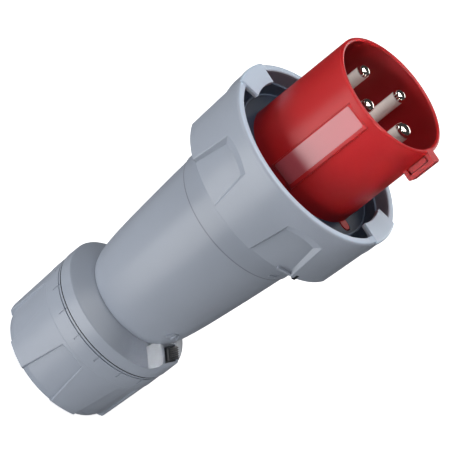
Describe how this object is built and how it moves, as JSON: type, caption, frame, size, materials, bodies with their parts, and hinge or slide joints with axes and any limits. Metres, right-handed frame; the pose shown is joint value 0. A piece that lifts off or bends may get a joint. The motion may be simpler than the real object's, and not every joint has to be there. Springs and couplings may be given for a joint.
{
  "type": "industrial pin and sleeve plug",
  "caption": "Water-tight industrial power plug: tapered shell, coupling ring with two locking lugs, keyed red shroud round domed contact pins, and a clamping cap nut.",
  "frame": {"origin": "on the plug's axis, in the rear face of the cap nut on which it stands", "axes": "+Z along the plug's axis towards the pins; +X through the shroud's key and the earth pin"},
  "size_m": [0.123, 0.1222, 0.2775],
  "materials": {
    "grey_moulding": "satin moulded plastic with a fine grain",
    "red_moulding": "satin moulded plastic",
    "nickel_contacts": "polished nickel plate",
    "black_rubber": "matt rubber",
    "black_moulding": "matt moulded plastic",
    "pale_moulding": "natural moulded plastic",
    "steel": "zinc-plated steel"
  },
  "bodies": {
    "plug_body": {"rear_shell": "grey_moulding", "shell_o_ring": "black_rubber", "front_collar": "grey_moulding", "ring_retainer": "steel", "face_gasket": "black_rubber", "contact_insert": "red_moulding", "insert_o_ring": "black_rubber", "insert_screws": "steel", "pin_earth": "nickel_contacts", "pin_phase_1": "nickel_contacts", "pin_phase_2": "nickel_contacts", "pin_phase_3": "nickel_contacts", "terminal_screw_earth": "steel", "terminal_screw_phase_1": "steel", "terminal_screw_phase_2": "steel", "terminal_screw_phase_3": "steel", "pin_carrier": "pale_moulding", "carrier_screw": "steel", "cable_seal": "black_rubber", "clamping_cage": "pale_moulding"},
    "coupling_ring": {"coupling_ring": "grey_moulding", "index_marker": "black_moulding"},
    "thrust_ring": {"thrust_ring": "pale_moulding"},
    "cap_nut": {"cap_nut": "grey_moulding"},
    "lock_slider": {"lock_slider": "black_moulding"}
  },
  "joints": [
    {"name": "ring_turn", "type": "hinge", "parent": "plug_body", "child": "coupling_ring", "pos_m": [0, 0, 0.2], "axis": [0, 0, 1], "range_deg": [0, 45]},
    {"name": "thrust_slide", "type": "slide", "parent": "plug_body", "child": "thrust_ring", "axis": [0, 0, 1], "range_m": [-0.012, 0]},
    {"name": "nut_turn", "type": "hinge", "parent": "thrust_ring", "child": "cap_nut", "pos_m": [0, 0, 0.02], "axis": [0, 0, 1], "range_deg": [-1080, 0]},
    {"name": "lock_slide", "type": "slide", "parent": "plug_body", "child": "lock_slider", "axis": [0, 0, 1], "range_m": [-0.0016, 0]}
  ],
  "couplings": [
    {"joint": "thrust_slide", "follows": "nut_turn", "m_per_rad": 0.00063662}
  ]
}
